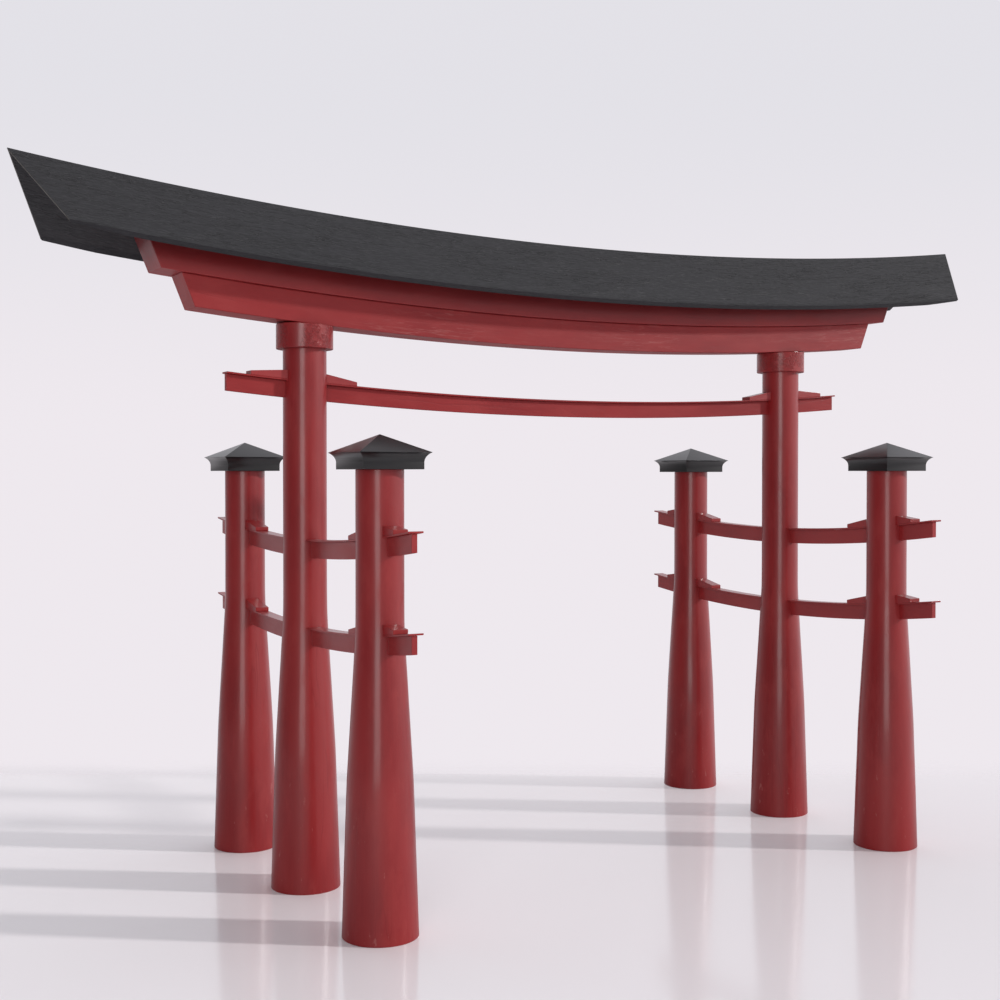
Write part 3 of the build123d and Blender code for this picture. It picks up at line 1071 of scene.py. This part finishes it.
@dataclass
class Posts:
    """Six turned posts, the collars round two of them and the caps on four."""

    workshop: Workshop
    lacquer: RedLacquer
    crinkled: RedLacquer
    paint: BlackStain
    shaft_radius: float = 0.159
    lintel_radius: float = LINTEL_RADIUS
    collar_follows: float = 0.55
    sides: int = 96
    foot_edge: float = 0.004
    collar_edge: float = 0.005
    cap_edge: float = 0.0015
    turned_angle: float = 60.0
    cap_angle: float = 20.0

    def post(self, node: str, top: float, material: bpy.types.Material) -> None:
        """Turn one post.

        Args:
            node: CAD node that it stands for.
            top: Height of its head.
            material: Its finish.
        """
        low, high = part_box(node)
        middle = (low + high) / 2
        values = {
            "Foot X": middle.x, "Foot Y": middle.y, "Height": top, "Sides": self.sides,
            "Shaft Radius": self.shaft_radius, "Material": material,
        }
        piece = self.workshop.turn(f"{node}_turned", values)
        if high.z > top + self.foot_edge:
            self.workshop.keep_above(piece, node, top - self.foot_edge)
        self.workshop.seat(piece, Slot.LACQUER, self.foot_edge, node, angle=self.turned_angle)

    def collar(self, node: str, material: bpy.types.Material) -> None:
        """Make the ring round a main post's head, its top following the lintel.

        Args:
            node: CAD node that it stands for.
            material: Its finish.
        """
        low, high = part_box(node)
        middle, outer, bore = (low + high) / 2, (high.y - low.y) / 2, self.shaft_radius
        seat = rise(abs(middle.x) - outer, self.lintel_radius)
        corners, faces = [], []
        for radius, at_top in ((outer, False), (outer, True), (bore, True), (bore, False)):
            for step in range(self.sides):
                turn = math.tau * step / self.sides
                x, y = middle.x + radius * math.cos(turn), middle.y + radius * math.sin(turn)
                lift = (rise(abs(x), self.lintel_radius) - seat) * self.collar_follows
                corners.append((x, y, high.z + lift if at_top else low.z))
        count = len(corners)
        for ring in range(0, count, self.sides):
            above = (ring + self.sides) % count
            for step in range(self.sides):
                after = (step + 1) % self.sides
                faces.append((ring + step, ring + after, above + after, above + step))
        mesh = bpy.data.meshes.new(f"{node}_ring")
        mesh.from_pydata(corners, [], faces)
        piece = self.workshop.place(mesh, material)
        self.workshop.seat(piece, Slot.LACQUER, self.collar_edge, node, angle=self.turned_angle)

    def build(self) -> None:
        """Make the posts, collars and caps."""
        lacquer = self.lacquer.surface(Grain(Way.HEIGHT))
        crinkled = self.crinkled.surface(Grain(Way.HEIGHT))
        paint = self.paint.surface(Grain(Way.LENGTH))
        for side in SIDES:
            collar = f"collar_{side}"
            self.post(f"main_post_{side}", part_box(collar)[1].z, lacquer)
            self.collar(collar, crinkled)
            for end in ENDS:
                post = f"side_post_{side}_{end}"
                self.post(post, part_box(post)[1].z, lacquer)
                for part in ("cap_moulding", "cap_pyramid"):
                    node = f"{part}_{side}_{end}"
                    piece = self.workshop.copy(node, paint)
                    self.workshop.seat(piece, Slot.CAP, self.cap_edge, node, angle=self.cap_angle)


# ------------------------------------------------------------------------------------------
# Studio
# ------------------------------------------------------------------------------------------
@dataclass
class Studio:
    """Pale glossy floor, bright backdrop, a room with a window and a dark flag, and two lamps.

    The lamps are a low key light at the right and a tall soft box behind the camera. What the room
    sends out changes with the direction, given along the floor, by spans of that direction.
    """

    floor_colour: Colour = (0.965, 0.918, 0.950)
    floor_roughness: float = 0.12
    floor_reach: float = 60.0
    floor_ends: tuple[float, float] = (9.0, 14.0)
    backdrop_near: float = -1.0
    backdrop_from: float = 2.0
    backdrop_to: float = 3.5
    early_fade: float = 0.35
    backdrop_low: Colour = (0.858, 0.812, 0.855)
    backdrop_high: Colour = (0.768, 0.756, 0.803)
    backdrop_rise: tuple[float, float] = (0.02, 0.28)
    behind: tuple[float, float] = (0.4997, 0.8662)
    room: float = 0.22
    room_span: tuple[float, float] = (-0.35, 0.80)
    flag: float = 0.36
    flag_span: tuple[float, float] = (0.35, 0.90)
    window: float = 0.50
    window_way: tuple[float, float] = (0.7071, -0.7071)
    window_span: tuple[float, float] = (0.15, 1.0)
    sky: Colour = (0.97, 0.98, 1.02)
    key_colour: Colour = (1.0, 0.975, 0.955)
    key_azimuth: float = math.radians(54.7)
    key_elevation: float = math.radians(23.0)
    key_strength: float = 1.92
    key_spread: float = math.radians(3.0)
    box_size: tuple[float, float] = (12.7, 19.5)
    box_power: float = 3800.0
    box_place: tuple[float, float, float] = (-20.8, -26.8, 7.0)
    box_aim: tuple[float, float, float] = (0.0, 0.0, 2.4)
    eye: tuple[float, float, float] = (-6.121, -9.530, 3.0015)
    eye_turn: tuple[float, float, float] = (89.058, 0.0, -29.98)
    lens: float = 50.02
    sensor: float = 36.0

    def floor(self) -> None:
        """Lay the floor; far behind the gate and far off all round it joins the backdrop."""
        mesh = bpy.data.meshes.new(FLOOR)
        side = self.floor_reach
        corners = [(-side, -side, 0.0), (side, -side, 0.0), (side, side, 0.0), (-side, side, 0.0)]
        mesh.from_pydata(corners, [], [(0, 1, 2, 3)])
        floor = bpy.data.objects.new(FLOOR, mesh)
        bpy.context.scene.collection.objects.link(floor)
        material, graph = blank_surface(FLOOR)
        x, y, _ = graph.split(graph.node("ShaderNodeTexCoord", output="Object"))
        back = x * self.behind[0] + y * self.behind[1]
        far = (x * x + y * y).root().ramp(*self.floor_ends)
        join = back.ramp(self.backdrop_near, self.backdrop_to) * self.early_fade
        join = join + back.ramp(self.backdrop_from, self.backdrop_to) * (1 - self.early_fade)
        fade = join.largest(far) * self.seen(graph)
        sockets = {"Base Color": opaque(self.floor_colour), "Roughness": self.floor_roughness}
        surface = graph.node("ShaderNodeBsdfPrincipled", inputs=sockets)
        clear = graph.node("ShaderNodeBsdfTransparent")
        put_out(graph, graph.node("ShaderNodeMixShader", inputs={0: fade, 1: surface, 2: clear}))
        mesh.materials.append(material)

    def seen(self, graph: Graph) -> Signal:
        """Tell whether a ray shows the backdrop: to the eye, in a reflection or through glass.

        Args:
            graph: Node tree of the floor or the world.

        Returns:
            1 for such a ray, otherwise 0.
        """
        rays = ("Is Camera Ray", "Is Glossy Ray", "Is Transmission Ray")
        first, second, third = (graph.node("ShaderNodeLightPath", output=ray) for ray in rays)
        return first.largest(second).largest(third)

    def world(self) -> None:
        """Light everything from a plain sky that is brighter behind, and show a pale backdrop."""
        world = bpy.data.worlds.new("studio")
        world.use_nodes = True
        world.node_tree.nodes.clear()
        graph = Graph(world.node_tree)
        x, y, up = graph.split(graph.node("ShaderNodeTexCoord", output="Generated"))
        back = x * self.behind[0] + y * self.behind[1]
        left = y * self.behind[0] - x * self.behind[1]
        front = x * self.window_way[0] + y * self.window_way[1]
        room = self.room + (1 - self.room) * back.ramp(*self.room_span)
        room = room * (1 - left.ramp(*self.flag_span) * self.flag)
        room = room + front.ramp(*self.window_span) * self.window
        level = room.largest(graph.node("ShaderNodeLightPath", output="Is Camera Ray"))
        colour = graph.blend(up.ramp(*self.backdrop_rise), self.backdrop_low, self.backdrop_high)
        sockets = {"Color": opaque(self.sky), "Strength": room}
        plain = graph.node("ShaderNodeBackground", inputs=sockets)
        sockets = {"Color": colour, "Strength": level}
        shown = graph.node("ShaderNodeBackground", inputs=sockets)
        mixed = graph.node("ShaderNodeMixShader", inputs={0: self.seen(graph), 1: plain, 2: shown})
        graph.node("ShaderNodeOutputWorld", inputs={"Surface": mixed})
        bpy.context.scene.world = world

    def lamps(self) -> None:
        """Set the key light and the tall soft box."""
        flat = math.cos(self.key_elevation)
        towards = Vector((
            math.sin(self.key_azimuth) * flat,
            -math.cos(self.key_azimuth) * flat,
            math.sin(self.key_elevation),
        ))
        key = bpy.data.lights.new("key", "SUN")
        key.energy = self.key_strength
        key.color = self.key_colour
        key.angle = self.key_spread
        self.hang(key, towards, towards)

        box = bpy.data.lights.new("soft_box", "AREA")
        box.shape = "RECTANGLE"
        box.size, box.size_y = self.box_size
        box.energy = self.box_power
        place = Vector(self.box_place)
        self.hang(box, place, place - Vector(self.box_aim))

    def hang(self, light: bpy.types.Light, place: Vector, back: Vector) -> None:
        """Hang a lamp twice: for the gate, and for the floor without its mirror image.

        Args:
            light: The lamp.
            place: Where it hangs.
            back: Way from what it lights to the lamp.
        """
        for lit, state in (("gate", "EXCLUDE"), ("floor", "INCLUDE")):
            lamp = bpy.data.objects.new(f"{light.name}_{lit}", light)
            lamp.location = place
            lamp.rotation_euler = back.to_track_quat("Z", "Y").to_euler()
            lamp.visible_glossy = lit == "gate"
            reached = bpy.data.collections.new(lamp.name)
            reached.objects.link(bpy.data.objects[FLOOR])
            reached.collection_objects[0].light_linking.link_state = state
            lamp.light_linking.receiver_collection = reached
            bpy.context.scene.collection.objects.link(lamp)

    def camera(self) -> None:
        """Place the camera."""
        data = bpy.data.cameras.new("camera")
        data.lens = self.lens
        data.sensor_width = self.sensor
        camera = bpy.data.objects.new("camera", data)
        camera.location = self.eye
        camera.rotation_euler = tuple(math.radians(turn) for turn in self.eye_turn)
        bpy.context.scene.collection.objects.link(camera)
        bpy.context.scene.camera = camera

    def build(self) -> None:
        """Set up the whole studio."""
        self.floor()
        self.world()
        self.lamps()
        self.camera()
        bpy.context.scene.view_settings.view_transform = "Standard"


def main() -> None:
    """Build the gate's looks and its studio, and log how many pieces were made."""
    logging.basicConfig(level=logging.INFO, format="%(name)s: %(message)s")
    workshop, finishes = Workshop(), Finishes()
    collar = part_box("collar_right")
    post_x = (collar[0].x + collar[1].x) / 2
    Lintels(workshop, finishes.lower_lintel, finishes.upper_lintel).build(post_x)
    Roof(workshop, finishes.roof).build()
    Beams(workshop, finishes.side_beams, finishes.tie_beam).build()
    Posts(workshop, finishes.posts, finishes.collars, finishes.caps).build()
    Studio().build()
    LOG.info("%d pieces", workshop.made)


if __name__ == "__main__":
    main()
